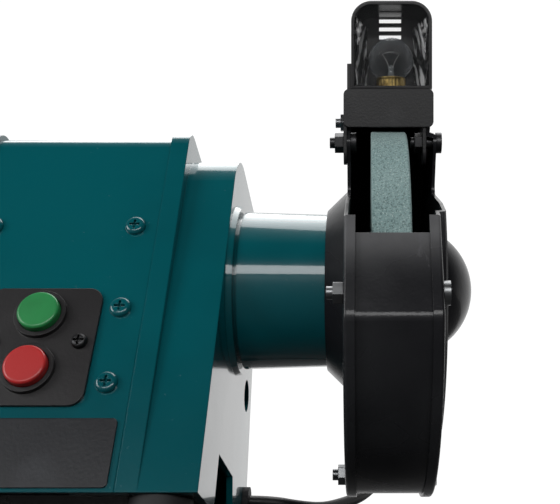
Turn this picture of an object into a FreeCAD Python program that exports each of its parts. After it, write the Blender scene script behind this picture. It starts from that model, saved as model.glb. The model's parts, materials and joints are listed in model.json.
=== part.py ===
import FreeCAD, Part
import math
import os
import re
import Sketcher

# A 150 mm double-ended bench grinder. X runs along the spindle, the operator stands at -Y, and +Z is up.
# The origin is on the bench, under the middle of the spindle.

Vector = FreeCAD.Vector
document = FreeCAD.newDocument("bench_grinder")
sheet = document.addObject("Spreadsheet::Sheet", "Dimensions")

dimensions = {
    # spindle and wheels
    "shaft_height": 115.0,
    "wheel_diameter": 150.0,
    "wheel_width": 16.0,
    "wheel_centre": 141.7,
    "spindle_diameter": 12.7,
    "spindle_end": 172.0,
    "journal_diameter": 15.0,
    "shoulder_diameter": 19.0,
    "running_clearance": 0.03,
    "flange_diameter": 52.0,
    "flange_thickness": 6.0,
    "flange_hub_diameter": 20.0,
    "spindle_nut_size": 19.0,
    "spindle_nut_thickness": 11.0,
    "bearing_diameter": 35.0,
    "bearing_width": 11.0,
    "bearing_ring": 3.1,
    "bearing_inner_face": 102.0,
    # motor
    "stator_diameter": 70.0,
    "stator_length": 60.0,
    "stator_grip": 4.0,
    "spigot_wall": 1.9,
    "rotor_diameter": 38.0,
    "air_gap": 0.5,
    "winding_length": 12.0,
    # body castings
    "body_centre": 9.5,
    "body_bottom": -106.5,
    "casting_wall": 3.0,
    "side_face": 71.0,
    "cap_inner_face": 49.0,
    "cover_half_width": 40.6,
    "seat_inner_face": 24.0,
    "bottom_half_depth": 65.0,
    "cap_top": 60.0,
    "cap_top_half_depth": 42.6,
    "cap_radius": 24.0,
    "cover_top": 63.5,
    "cover_top_half_depth": 48.0,
    "cover_radius": 9.0,
    "cover_thickness": 1.2,
    "ridge_step": 2.6,
    "fit_gap": 0.1,
    "arch_height": 23.5,
    "arch_front": -20.0,
    "arch_back": 34.0,
    "side_hole_diameter": 16.0,
    "side_hole_back": 47.7,
    "side_hole_rise": -36.5,
    # sleeves
    "sleeve_end": 113.6,
    "sleeve_root_radius": 37.3,
    "sleeve_end_radius": 36.1,
    "sleeve_wall": 4.5,
    "collar_radius": 40.5,
    "collar_length": 2.6,
    "groove_width": 1.4,
    "groove_depth": 2.2,
    # guards
    "guard_width": 37.6,
    "guard_sheet": 1.5,
    "band_radius": 93.0,
    "front_flat": 79.6,
    "rim_overlap": 4.4,
    "lip_rise": -13.0,
    "rim_lip_rise": -6.0,
    "band_top_end": -30.0,
    "dish_face": 115.1,
    "dish_radius": 38.0,
    "dish_foot_radius": 47.0,
    "dish_bore": 14.5,
    "plateau_radius": 75.0,
    "plateau_height": 3.0,
    "dome_radius": 28.2,
    "dome_height": 18.0,
    "guard_bolt_diameter": 5.0,
    "guard_bolt_circle": 85.0,
    "guard_screw_circle": 26.0,
    # lamps
    "lamp_lean": 28.0,
    "lamp_front": -58.6,
    "lamp_rise": 74.0,
    "lamp_offset": 1.5,
    "lamp_width": 37.0,
    "lamp_length": 40.2,
    "lamp_depth": 24.0,
    "lamp_corner": 9.3,
    "lamp_wall": 1.5,
    "vent_length": 10.6,
    "vent_height": 2.1,
    "vent_pitch": 3.9,
    "bracket_width": 40.8,
    "bracket_top": -0.7,
    "bracket_bottom": -17.9,
    "bracket_stand_off": 2.0,
    "ear_half_width": 5.6,
    "ear_bottom": -34.3,
    "pivot_back": 3.1,
    "pivot_rise": -24.3,
    "pivot_bolt_diameter": 5.0,
    "bulb_diameter": 20.9,
    "bulb_rise": 15.6,
    "bulb_back": 11.6,
    "bulb_cap_diameter": 13.6,
    "bulb_cap_top": 7.0,
    "bulb_cap_bottom": -9.0,
    "socket_diameter": 18.6,
    "socket_bottom": -13.0,
    "socket_top": 0.0,
    # front fittings, measured up the sloping front cover
    "cover_screw_diameter": 8.8,
    "cover_screw_height": 2.4,
    "cover_screw_shank": 4.0,
    "cover_screw_side": 31.0,
    "label_half_width": 38.0,
    "label_bottom": 1.5,
    "label_top": 28.0,
    "label_thickness": 0.8,
    "plate_half_width": 23.5,
    "plate_bottom": 32.8,
    "plate_top": 84.6,
    "plate_corner": 6.0,
    "plate_thickness": 1.6,
    "plate_screw_side": 17.7,
    "plate_screw_diameter": 6.4,
    "button_diameter": 16.6,
    "button_height": 7.0,
    "button_travel": 3.0,
    "button_pitch": 24.0,
    "bezel_radius": 10.4,
    "switch_depth": 12.0,
    # base
    "base_thickness": 2.5,
    "foot_diameter": 24.0,
    "foot_spread_x": 110.0,
    "foot_spread_y": 84.0,
    "bench_hole_diameter": 6.6,
    # lamp cables
    "cable_diameter": 6.0,
    "grommet_diameter": 12.0,
    "grommet_length": 9.0,
    "grommet_back": 62.0,
    "grommet_rise": -86.0,
    "cable_exit_angle": -12.0,
}

for row, (word, size) in enumerate(dimensions.items(), 1):
    sheet.set("A%d" % row, word.replace("_", " "))
    sheet.set("B%d" % row, str(size))
    sheet.setAlias("B%d" % row, word)
document.recompute()

words = re.compile(r"[a-z][a-z_]+")
sub_parts = []


scratch = document.addObject("Spreadsheet::Sheet", "Scratch")
known = {}


def link(formula):
    """A formula in the sheet's words, as an expression that an object can be bound to."""
    return words.sub(lambda m: ("Dimensions." if m.group(0) in dimensions else "") + m.group(0), str(formula))


def number(formula):
    """The value of a formula written in the sheet's words."""
    if formula not in known:
        scratch.set("A1", "=" + link(formula))
        scratch.recompute()
        known[formula] = float(scratch.get("A1"))
    return known[formula]


def bind(thing, field, formula):
    thing.setExpression(field, link(formula))


def keep(thing):
    sub_parts.append(thing)
    return thing


def origin_plane(body, role):
    return [plane for plane in body.Origin.OriginFeatures if plane.Role == role + "_Plane"][0]


# Frames: "bench" is the whole object's, "shaft" has its origin on the spindle's axis, "front" and "rear" lie
# on the sloping covers with z running up the slope, and "lamp_right" and "lamp_left" on a lamp's open face.
slope = "atan((bottom_half_depth - cover_top_half_depth) / (cover_top - body_bottom))"
frames = {
    "bench": ("0", "0", "0", "0", False),
    "shaft": ("0", "0", "shaft_height", "0", False),
    "front": ("0", "body_centre - bottom_half_depth", "shaft_height + body_bottom", "-" + slope, False),
    "rear": ("0", "body_centre + bottom_half_depth", "shaft_height + body_bottom", "-" + slope, True),
    "lamp_right": ("wheel_centre", "lamp_front", "shaft_height + lamp_rise", "lamp_lean", False),
    "lamp_left": ("-wheel_centre", "lamp_front", "shaft_height + lamp_rise", "lamp_lean", False),
}


def frame_placement(frame):
    x, y, z, lean, turned = frames[frame]
    tilt = FreeCAD.Rotation(Vector(1, 0, 0), number(lean))
    turn = FreeCAD.Rotation(Vector(0, 0, 1), 180 if turned else 0)
    return FreeCAD.Placement(Vector(number(x), number(y), number(z)), turn * tilt)


def new_body(name, frame="shaft"):
    body = document.addObject("PartDesign::Body", name)
    body.Label = name
    body.Placement = frame_placement(frame)
    for letter, formula in zip("xyz", frames[frame]):
        bind(body, "Placement.Base." + letter, formula)
    return keep(body)


def new_sketch(body, plane, offset):
    sketch = body.newObject("Sketcher::SketchObject", body.Label + "_sketch")
    sketch.AttachmentSupport = (origin_plane(body, plane), [""])
    sketch.MapMode = "FlatFace"
    bind(sketch, "AttachmentOffset.Base.z", offset)
    return sketch


def hold(sketch, kind, place, formula):
    item = sketch.addConstraint(Sketcher.Constraint(kind, *place, number(formula)))
    sketch.setExpression("Constraints[%d]" % item, link(formula))


def outline(body, plane, points, offset="0", arcs=()):
    """A closed outline through points given as pairs of formulas. A stretch whose number is in arcs is an arc
    whose centre lies on the sketch's horizontal axis."""
    sketch = new_sketch(body, plane, offset)
    places = [Vector(number(across), number(up), 0) for across, up in points]
    ends = []
    for index, start in enumerate(places):
        finish = places[(index + 1) % len(places)]
        if index in arcs:
            middle = (finish.x ** 2 + finish.y ** 2 - start.x ** 2 - start.y ** 2) / 2 / (finish.x - start.x)
            centre = Vector(middle, 0, 0)
            angles = [math.atan2(place.y, place.x - middle) % (2 * math.pi) for place in (start, finish)]
            circle = Part.Circle(centre, Vector(0, 0, 1), (start - centre).Length)
            clockwise = (angles[0] - angles[1]) % (2 * math.pi) < math.pi
            first, last = (angles[1], angles[0]) if clockwise else (angles[0], angles[1])
            sweep = (last - first) % (2 * math.pi)
            sketch.addGeometry(Part.ArcOfCircle(circle, first, first + sweep), False)
            sketch.addConstraint(Sketcher.Constraint("PointOnObject", index, 3, -1))
            ends.append((2, 1) if clockwise else (1, 2))
        else:
            sketch.addGeometry(Part.LineSegment(start, finish), False)
            ends.append((1, 2))
    for index, (across, up) in enumerate(points):
        following = (index + 1) % len(points)
        join = (index, ends[index][1], following, ends[following][0])
        sketch.addConstraint(Sketcher.Constraint("Coincident", *join))
        hold(sketch, "DistanceX", (-1, 1, index, ends[index][0]), across)
        hold(sketch, "DistanceY", (-1, 1, index, ends[index][0]), up)
    return sketch


def rings(body, plane, circles, offset="0"):
    """Circles given as (across, up, radius) formulas."""
    sketch = new_sketch(body, plane, offset)
    for index, (across, up, radius) in enumerate(circles):
        centre = Vector(number(across), number(up), 0)
        sketch.addGeometry(Part.Circle(centre, Vector(0, 0, 1), number(radius)), False)
        hold(sketch, "DistanceX", (-1, 1, index, 3), across)
        hold(sketch, "DistanceY", (-1, 1, index, 3), up)
        hold(sketch, "Radius", (index,), radius)
    return sketch


def pad(body, sketch, length):
    feature = body.newObject("PartDesign::Pad", body.Label + "_pad")
    feature.Profile = sketch
    bind(feature, "Length", length)
    document.recompute()
    return feature


def pocket(body, sketch, length=None):
    """Cuts the way the sketch faces, or right through both ways when no length is given."""
    before = body.Shape.Volume
    feature = body.newObject("PartDesign::Pocket", body.Label + "_pocket")
    feature.Profile = sketch
    if length is None:
        feature.Type = "ThroughAll"
        feature.Midplane = True
    else:
        feature.Reversed = True
        bind(feature, "Length", length)
    document.recompute()
    assert body.Shape.Volume < before - 0.01, "a pocket in %s cuts nothing" % body.Label
    return feature


def turn(body, sketch, kind="Revolution"):
    feature = body.newObject("PartDesign::" + kind, body.Label + "_turn")
    feature.Profile = sketch
    feature.ReferenceAxis = (sketch, ["H_Axis"])
    feature.Angle = 360
    document.recompute()
    return feature


def fillet(body, feature, names, radius):
    assert names, "%s has no edge to round" % body.Label
    rounding = body.newObject("PartDesign::Fillet", body.Label + "_fillet")
    rounding.Base = (feature, names)
    bind(rounding, "Radius", radius)
    document.recompute()
    return rounding


def round_corners(body, feature, sketch, corners, radius):
    """Rounds the edges that run square to a sketch's plane through the given corners of its outline."""
    normal = sketch.Placement.Rotation.multVec(Vector(0, 0, 1))
    places = [sketch.Placement.multVec(Vector(number(across), number(up), 0)) for across, up in corners]
    names = []
    for index, edge in enumerate(feature.Shape.Edges, 1):
        if abs(edge.tangentAt(edge.FirstParameter).dot(normal)) < 0.999:
            continue
        offsets = [edge.Vertexes[0].Point - place for place in places]
        if any((offset - normal * offset.dot(normal)).Length < 0.01 for offset in offsets):
            names.append("Edge%d" % index)
    return fillet(body, feature, names, radius)


def round_face_edges(body, feature, across, radius):
    """Rounds every edge that lies in the plane at the given distance along the spindle."""
    names = ["Edge%d" % index for index, edge in enumerate(feature.Shape.Edges, 1)
             if abs(edge.BoundBox.XMin - across) < 0.001 and abs(edge.BoundBox.XMax - across) < 0.001]
    return fillet(body, feature, names, radius)


def mirrored(side, points):
    """Points of an outline drawn for the right-hand side, as they are on the given side."""
    return [("-(%s)" % across if side < 0 else across, up) for across, up in points]


def span(side, near, far):
    """Where a pad along +X starts, and its length, for a stretch between two distances from the middle."""
    return ("-(%s)" % far if side < 0 else near), "(%s) - (%s)" % (far, near)


def side_pad(body, side, draw, shapes, near, far):
    start, length = span(side, near, far)
    sketch = draw(body, "YZ", shapes, start)
    return pad(body, sketch, length), sketch


def side_pocket(body, side, draw, shapes, near, far):
    start, length = span(side, near, far)
    sketch = draw(body, "YZ", shapes, start)
    return pocket(body, sketch, length), sketch


def oblong(left, low, right, high):
    return [(left, low), (right, low), (right, high), (left, high)]


def drum(radius, flat):
    """A round outline about the spindle with a flat front."""
    rise = "sqrt((%s)^2 - (%s)^2)" % (radius, flat)
    return [("-(%s)" % flat, "-" + rise), (radius, "0"), ("-(%s)" % flat, rise)]


def drum_outline(body, plane, shape, offset):
    return outline(body, plane, shape, offset, arcs=(0, 1))


def group(name, pieces):
    """One node that holds several separate solids."""
    compound = document.addObject("Part::Compound", name)
    compound.Label = name
    compound.Links = pieces
    return keep(compound)


def place_along(placement, axis, start):
    direction = {"x": Vector(1, 0, 0), "y": Vector(0, 1, 0), "z": Vector(0, 0, 1), "-y": Vector(0, -1, 0),
                 "-x": Vector(-1, 0, 0)}[axis]
    local = FreeCAD.Placement(Vector(*[number(part) for part in start]),
                              FreeCAD.Rotation(Vector(0, 0, 1), direction))
    return placement.multiply(local)


def rod(name, radius, length, start, axis="x", frame="shaft"):
    """A cylinder from a start point along an axis of a frame."""
    cylinder = document.addObject("Part::Cylinder", name)
    bind(cylinder, "Radius", radius)
    bind(cylinder, "Height", length)
    cylinder.Placement = place_along(frame_placement(frame), axis, start)
    return cylinder


def nut(name, size, length, start, axis="x", frame="shaft"):
    """A hexagonal prism, its size across the flats."""
    prism = document.addObject("Part::Prism", name)
    prism.Polygon = 6
    bind(prism, "Circumradius", "(%s) / sqrt(3)" % size)
    bind(prism, "Height", length)
    prism.Placement = place_along(frame_placement(frame), axis, start)
    return prism


def slab(name, low, size, frame="shaft"):
    """A box from its low corner, given in a frame."""
    box = document.addObject("Part::Box", name)
    for field, formula in zip(("Length", "Width", "Height"), size):
        bind(box, field, formula)
    local = FreeCAD.Placement(Vector(*[number(part) for part in low]), FreeCAD.Rotation())
    box.Placement = frame_placement(frame).multiply(local)
    return box


def union(name, pieces):
    fuse = document.addObject("Part::MultiFuse", name)
    fuse.Shapes = pieces
    return fuse


def difference(name, base, tool):
    cut = document.addObject("Part::Cut", name)
    cut.Base = base
    cut.Tool = tool
    return cut


def name_it(thing, name):
    thing.Label = name
    return keep(thing)


# Up the slope of the covers: the heights of the three rows of cover screws.
cover_screw_rows = ("117", "76.2", "42.8")


def screw_height(up):
    """Where a screw square to the slope passes through the wall, as a height above the spindle."""
    return "body_bottom + (%s) * cos(%s) - 0.27" % (up, slope)


# Body castings: an end housing on each side, with the sleeve that carries the bearing.
def trapezium(top, top_half, bottom_half, bottom="body_bottom"):
    return [("body_centre - (%s)" % bottom_half, bottom), ("body_centre - (%s)" % top_half, top),
            ("body_centre + (%s)" % top_half, top), ("body_centre + (%s)" % bottom_half, bottom)]


def end_housing(name, side):
    body = new_body(name)
    cap = trapezium("cap_top", "cap_top_half_depth", "bottom_half_depth")
    block, sketch = side_pad(body, side, outline, cap, "cap_inner_face", "side_face")
    round_corners(body, block, sketch, cap[1:3], "cap_radius")
    ridge = trapezium("cover_top + ridge_step", "cover_top_half_depth + ridge_step / 2", "bottom_half_depth")
    block, sketch = side_pad(body, side, outline, ridge, "cover_half_width + fit_gap", "cap_inner_face")
    round_corners(body, block, sketch, ridge[1:3], "cover_radius + ridge_step / 2")
    skin = "cover_thickness + fit_gap"
    seat = trapezium("cover_top - (%s)" % skin, "cover_top_half_depth - (%s)" % skin,
                     "bottom_half_depth - (%s)" % skin)
    block, sketch = side_pad(body, side, outline, seat, "seat_inner_face", "cover_half_width + fit_gap")
    round_corners(body, block, sketch, seat[1:3], "cover_radius - (%s)" % skin)
    bottom_half = "bottom_half_depth - casting_wall - (%s)" % skin
    corner = [("cap_top_half_depth - cap_radius + (cap_radius - casting_wall) * sin(%d)" % angle,
               "cap_top - cap_radius + (cap_radius - casting_wall) * cos(%d)" % angle)
              for angle in (85, 60, 30, 0)]
    hollow = [("body_centre - (%s)" % bottom_half, "body_bottom - 1")]
    hollow += [("body_centre - (%s)" % across, up) for across, up in corner]
    hollow += [("body_centre + " + across, up) for across, up in corner[::-1]]
    hollow.append(("body_centre + " + bottom_half, "body_bottom - 1"))
    side_pocket(body, side, outline, hollow, "seat_inner_face - 1", "side_face - casting_wall")
    spigot = [("0", "0", "stator_diameter / 2 + spigot_wall"), ("0", "0", "stator_diameter / 2")]
    side_pad(body, side, rings, spigot, "stator_length / 2 - stator_grip", "side_face - casting_wall / 2")
    inner = "sleeve_end_radius - sleeve_wall"
    opening = [("0", "0", inner)]
    side_pocket(body, side, rings, opening, "stator_length / 2 + winding_length + 4", "side_face + 1")
    collar_end = "side_face + collar_length"
    sleeve = [("side_face - 1", inner), ("side_face - 1", "collar_radius"), ("side_face", "collar_radius"),
              (collar_end, "collar_radius - 1"), (collar_end, "sleeve_root_radius - groove_depth"),
              (collar_end + " + groove_width", "sleeve_root_radius - groove_depth"),
              (collar_end + " + groove_width", "sleeve_root_radius"), ("sleeve_end", "sleeve_end_radius"),
              ("sleeve_end", "bearing_diameter / 2"), ("bearing_inner_face", "bearing_diameter / 2"),
              ("bearing_inner_face", "shoulder_diameter / 2 + 3"),
              ("bearing_inner_face - casting_wall", "shoulder_diameter / 2 + 3"),
              ("bearing_inner_face - casting_wall", inner)]
    turn(body, outline(body, "XY", mirrored(side, sleeve)))
    screw_holes = [("guard_screw_circle * cos(%d)" % angle, "guard_screw_circle * sin(%d)" % angle, "2")
                   for angle in (45, 135, 225, 315)]
    side_pocket(body, side, rings, screw_holes, "sleeve_end - 9", "sleeve_end + 1")
    arch = [("arch_front", "body_bottom - 1"), ("arch_front + 2", "body_bottom + arch_height"),
            ("arch_back - 12", "body_bottom + arch_height"), ("arch_back", "body_bottom - 1")]
    side_pocket(body, side, outline, arch, "side_face - casting_wall - 1", "side_face + 1")
    hole = [("side_hole_back", "side_hole_rise", "side_hole_diameter / 2")]
    side_pocket(body, side, rings, hole, "side_face - casting_wall - 1", "side_face + 1")
    grommet_hole = [("grommet_back", "grommet_rise", "cable_diameter / 2 + 2")]
    side_pocket(body, side, rings, grommet_hole, "side_face - casting_wall - 1", "side_face + 1")
    holes = [("%d * cover_screw_side" % side, screw_height(row), "cover_screw_shank / 2 + 0.45")
             for row in cover_screw_rows]
    front_plane = "cover_top_half_depth - cover_thickness - fit_gap - body_centre"
    pocket(body, rings(body, "XZ", holes, front_plane), "30")
    rear_plane = "-(body_centre + cover_top_half_depth - cover_thickness - fit_gap + 30)"
    pocket(body, rings(body, "XZ", holes, rear_plane), "30")
    return body


right_end_housing = end_housing("right_end_housing", 1)
left_end_housing = end_housing("left_end_housing", -1)


# Sheet covers, front and rear: the same pressing, the front one cut for the switch.
def cover(name, facing):
    sign = "-" if facing < 0 else "+"
    body = new_body(name)
    top_face = "body_centre %s cover_top_half_depth" % sign
    bottom_face = "body_centre %s bottom_half_depth" % sign
    back = "+" if facing < 0 else "-"
    points = [("body_centre %s fit_gap" % sign, "cover_top"), (top_face, "cover_top"),
              (bottom_face, "body_bottom"), (bottom_face + back + " cover_thickness", "body_bottom"),
              (top_face + back + " cover_thickness", "cover_top - cover_thickness"),
              ("body_centre %s fit_gap" % sign, "cover_top - cover_thickness")]
    sketch = outline(body, "YZ", points, "-cover_half_width")
    block = pad(body, sketch, "2 * cover_half_width")
    outer = round_corners(body, block, sketch, points[1:2], "cover_radius")
    round_corners(body, outer, sketch, points[4:5], "cover_radius - cover_thickness")
    holes = [("%s cover_screw_side" % side, screw_height(row), "cover_screw_shank / 2 + 0.45")
             for side in "+-" for row in cover_screw_rows]
    pocket(body, rings(body, "XZ", holes))
    return body


front_cover = cover("front_cover", -1)
switch_mid = "(plate_bottom + plate_top) / 2 + 1.1"
opening = oblong("-14.4", "body_bottom + (%s - 22) * cos(%s)" % (switch_mid, slope), "14.4",
                 "body_bottom + (%s + 22) * cos(%s)" % (switch_mid, slope))
pocket(front_cover, outline(front_cover, "XZ", opening))
holes = [(side + " plate_screw_side", screw_height(switch_mid), "cover_screw_shank / 2 + 0.45")
         for side in "+-"]
pocket(front_cover, rings(front_cover, "XZ", holes))
rear_cover = cover("rear_cover", 1)
gland_side = "14"
gland_up = "26"
hole = [("-" + gland_side, "body_bottom + %s * cos(%s)" % (gland_up, slope), "6.2")]
pocket(rear_cover, rings(rear_cover, "XZ", hole))


def truss_screws(name, frame, places, diameter, reach):
    """Cross-recess screws with domed heads, standing on the sloping face of a frame."""
    pieces = []
    for index, (across, up, stand_off) in enumerate(places):
        label = "%s_%d" % (name, index)
        head = rod(label + "_head", "(%s) / 2" % diameter, "cover_screw_height",
                   (across, "-(%s)" % stand_off, up), "-y", frame)
        shank = rod(label + "_shank", "cover_screw_shank / 2", "%s + (%s)" % (reach, stand_off),
                    (across, "-(%s)" % stand_off, up), "y", frame)
        rounded = document.addObject("Part::Fillet", label + "_dome")
        rounded.Base = head
        document.recompute()
        base = head.Placement.Base
        rise = number("cover_screw_height")
        rim = [place for place, edge in enumerate(head.Shape.Edges, 1)
               if edge.isClosed() and abs((edge.CenterOfMass - base).Length - rise) < 0.01]
        rounded.Edges = [(edge, 0.7 * rise, 0.7 * rise) for edge in rim]
        solid = union(label + "_solid", [rounded, shank])
        outside = "-(%s) - cover_screw_height - 1" % stand_off
        low = (across + " - 2.2", outside, up + " - 0.45")
        wide = slab(label + "_slot_wide", low, ("4.4", "2.6", "0.9"), frame)
        low = (across + " - 0.45", outside, up + " - 2.2")
        tall = slab(label + "_slot_tall", low, ("0.9", "2.6", "4.4"), frame)
        pieces.append(difference(label, solid, union(label + "_cross", [wide, tall])))
    return group(name, pieces)


cover_screw_places = [("%s cover_screw_side" % side, row, "0") for side in "+-" for row in cover_screw_rows]
truss_screws("front_cover_screws", "front", cover_screw_places, "cover_screw_diameter", "5.5")
truss_screws("rear_cover_screws", "rear", cover_screw_places, "cover_screw_diameter", "5.5")

# Front fittings: a plain label plate, and the switch with its two buttons.
label_plate = new_body("label_plate", "front")
shape = oblong("-label_half_width", "label_bottom", "label_half_width", "label_top")
sketch = outline(label_plate, "XZ", shape)
block = pad(label_plate, sketch, "label_thickness")
round_corners(label_plate, block, sketch, shape, "2")

button_rises = {"start_button": "(%s) + button_pitch / 2" % switch_mid,
                "stop_button": "(%s) - button_pitch / 2" % switch_mid}
switch_plate = new_body("switch_plate", "front")
shape = oblong("-plate_half_width", "plate_bottom", "plate_half_width", "plate_top")
sketch = outline(switch_plate, "XZ", shape)
block = pad(switch_plate, sketch, "plate_thickness")
round_corners(switch_plate, block, sketch, shape, "plate_corner")
bezels = [("0", rise, "bezel_radius") for rise in button_rises.values()]
pad(switch_plate, rings(switch_plate, "XZ", bezels, "plate_thickness / 2"), "plate_thickness / 2 + 2.2")
bores = [("0", rise, "button_diameter / 2 + 0.25") for rise in button_rises.values()]
pocket(switch_plate, rings(switch_plate, "XZ", bores))
screw_bores = [(side + " plate_screw_side", switch_mid, "cover_screw_shank / 2 + 0.1") for side in "+-"]
pocket(switch_plate, rings(switch_plate, "XZ", screw_bores))

switch_body = new_body("switch_body", "front")
shape = oblong("-14", switch_mid + " - 21.4", "14", switch_mid + " + 21.4")
pad(switch_body, outline(switch_body, "XZ", shape, "-switch_depth"), "switch_depth")
wells = [("0", rise, "button_diameter / 2 + 0.6") for rise in button_rises.values()]
pocket(switch_body, rings(switch_body, "XZ", wells, "-(switch_depth - 3)"), "switch_depth")

for name, rise in button_rises.items():
    button = new_body(name, "front")
    circle = rings(button, "XZ", [("0", rise, "button_diameter / 2")], "-4")
    block = pad(button, circle, "button_height + 4")
    rims = ["Edge%d" % index for index, edge in enumerate(block.Shape.Edges, 1)
            if edge.isClosed() and edge.CenterOfMass.y < 0]
    fillet(button, block, rims, "1.2")

plate_screw_places = [(side + " plate_screw_side", switch_mid, "plate_thickness") for side in "+-"]
truss_screws("switch_screws", "front", plate_screw_places, "plate_screw_diameter", "2.4")

# Base: a steel plate that closes the castings, on four rubber feet, with the bench holes through both.
feet = {"foot_front_left": ("-", "-"), "foot_front_right": ("+", "-"),
        "foot_rear_left": ("-", "+"), "foot_rear_right": ("+", "+")}
foot_places = {name: (x + " foot_spread_x / 2", y + " foot_spread_y / 2") for name, (x, y) in feet.items()}
base_plate = new_body("base_plate")
inside = "(side_face - casting_wall)"
half = "(bottom_half_depth - casting_wall - cover_thickness - fit_gap - 0.6)"
shape = oblong("-" + inside, "body_centre - " + half, inside, "body_centre + " + half)
pad(base_plate, outline(base_plate, "XY", shape, "body_bottom"), "base_thickness")
bench_holes = [(x, y, "bench_hole_diameter / 2") for x, y in foot_places.values()]
pocket(base_plate, rings(base_plate, "XY", bench_holes))
for name, (x, y) in foot_places.items():
    foot = new_body(name, "bench")
    circle = rings(foot, "XY", [(x, y, "foot_diameter / 2")])
    block = pad(foot, circle, "shaft_height + body_bottom")
    rims = ["Edge%d" % index for index, edge in enumerate(block.Shape.Edges, 1)
            if edge.isClosed() and edge.CenterOfMass.z < 0.1]
    fillet(foot, block, rims, "1.5")
    pocket(foot, rings(foot, "XY", [(x, y, "bench_hole_diameter / 2")]))

# Motor: stator, windings, rotor, and the spindle on its two bearings.
stator_core = new_body("stator_core")
lamination = [("0", "0", "stator_diameter / 2"), ("0", "0", "rotor_diameter / 2 + air_gap")]
pad(stator_core, rings(stator_core, "YZ", lamination, "-stator_length / 2"), "stator_length")

windings = []
for side, word in ((1, "right"), (-1, "left")):
    start = "stator_length / 2" if side > 0 else "-stator_length / 2 - winding_length"
    outer = rod("winding_%s_outside" % word, "stator_diameter / 2 - 4.5", "winding_length", (start, "0", "0"))
    inner = rod("winding_%s_inside" % word, "rotor_diameter / 2 + 3", "winding_length", (start, "0", "0"))
    windings.append(difference("winding_%s" % word, outer, inner))
group("stator_windings", windings)

rotor_core = new_body("rotor_core")
rotor_end = [("stator_length / 2", "rotor_diameter / 2"), ("stator_length / 2", "rotor_diameter / 2 - 2"),
             ("stator_length / 2 + 4", "rotor_diameter / 2 - 2"),
             ("stator_length / 2 + 4", "shoulder_diameter / 2")]
profile = mirrored(-1, rotor_end)[::-1] + rotor_end
turn(rotor_core, outline(rotor_core, "XY", profile))

spindle = new_body("spindle")
bearing_outer_face = "bearing_inner_face + bearing_width"
thread = "spindle_diameter / 2 - running_clearance"
half_profile = [("spindle_end", "0"), ("spindle_end", thread + " - 1.5"), ("spindle_end - 1.5", thread),
                (bearing_outer_face, thread), (bearing_outer_face, "journal_diameter / 2"),
                ("bearing_inner_face", "journal_diameter / 2"),
                ("bearing_inner_face", "shoulder_diameter / 2")]
turn(spindle, outline(spindle, "XY", half_profile + mirrored(-1, half_profile)[::-1]))

flange_inner = "wheel_centre - wheel_width / 2"
flange_outer = "wheel_centre + wheel_width / 2"
for side, word in ((1, "right"), (-1, "left")):
    body = new_body(word + "_bearing_outer")
    races = [("0", "0", "bearing_diameter / 2"), ("0", "0", "bearing_diameter / 2 - bearing_ring")]
    side_pad(body, side, rings, races, "bearing_inner_face", bearing_outer_face)
    body = new_body(word + "_bearing_inner")
    races = [("0", "0", "journal_diameter / 2 + bearing_ring"), ("0", "0", "journal_diameter / 2")]
    side_pad(body, side, rings, races, "bearing_inner_face", bearing_outer_face)

    bore = "spindle_diameter / 2"
    body = new_body(word + "_wheel")
    rim = "wheel_diameter / 2"
    profile = [(flange_inner, bore), (flange_inner, rim + " - 0.6"), (flange_inner + " + 0.6", rim),
               (flange_outer + " - 0.6", rim), (flange_outer, rim + " - 0.6"), (flange_outer, bore)]
    turn(body, outline(body, "XY", mirrored(side, profile)))

    body = new_body(word + "_inner_flange")
    profile = [(bearing_outer_face, bore), (bearing_outer_face, "flange_hub_diameter / 2"),
               (flange_inner + " - flange_thickness", "flange_hub_diameter / 2"),
               (flange_inner + " - flange_thickness", "flange_diameter / 2 - 3"),
               (flange_inner + " - flange_thickness / 2", "flange_diameter / 2"),
               (flange_inner, "flange_diameter / 2"), (flange_inner, "flange_diameter / 2 - 7"),
               (flange_inner + " - 0.8", "flange_diameter / 2 - 7"), (flange_inner + " - 0.8", bore)]
    turn(body, outline(body, "XY", mirrored(side, profile)))

    body = new_body(word + "_outer_flange")
    profile = [(flange_outer + " + flange_thickness", bore),
               (flange_outer + " + flange_thickness", "flange_diameter / 2 - 3"),
               (flange_outer + " + flange_thickness / 2", "flange_diameter / 2"),
               (flange_outer, "flange_diameter / 2"), (flange_outer, "flange_diameter / 2 - 7"),
               (flange_outer + " + 0.8", "flange_diameter / 2 - 7"), (flange_outer + " + 0.8", bore)]
    turn(body, outline(body, "XY", mirrored(side, profile)))

    near = flange_outer + " + flange_thickness"
    start = near if side > 0 else "-(%s) - spindle_nut_thickness" % near
    hexagon = nut(word + "_hexagon", "spindle_nut_size", "spindle_nut_thickness", (start, "0", "0"))
    thread_bore = rod(word + "_nut_bore", bore, "spindle_nut_thickness", (start, "0", "0"))
    name_it(difference(word + "_spindle_nut", hexagon, thread_bore), word + "_spindle_nut")

capacitor_can = rod("capacitor_can", "15", "52", ("-26", "38", "body_bottom + base_thickness + 15"))
capacitor_end = rod("capacitor_end", "11", "4", ("26", "38", "body_bottom + base_thickness + 15"))
name_it(union("capacitor", [capacitor_can, capacitor_end]), "capacitor")

gland_nut = nut("gland_nut", "17", "6", (gland_side, "0", gland_up), "-y", "rear")
gland_neck = rod("gland_neck", "5.9", "9", (gland_side, "0", gland_up), "y", "rear")
gland_dome = rod("gland_dome", "7.2", "6", (gland_side, "-6", gland_up), "-y", "rear")
name_it(union("mains_gland", [gland_nut, gland_neck, gland_dome]), "mains_gland")

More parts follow.
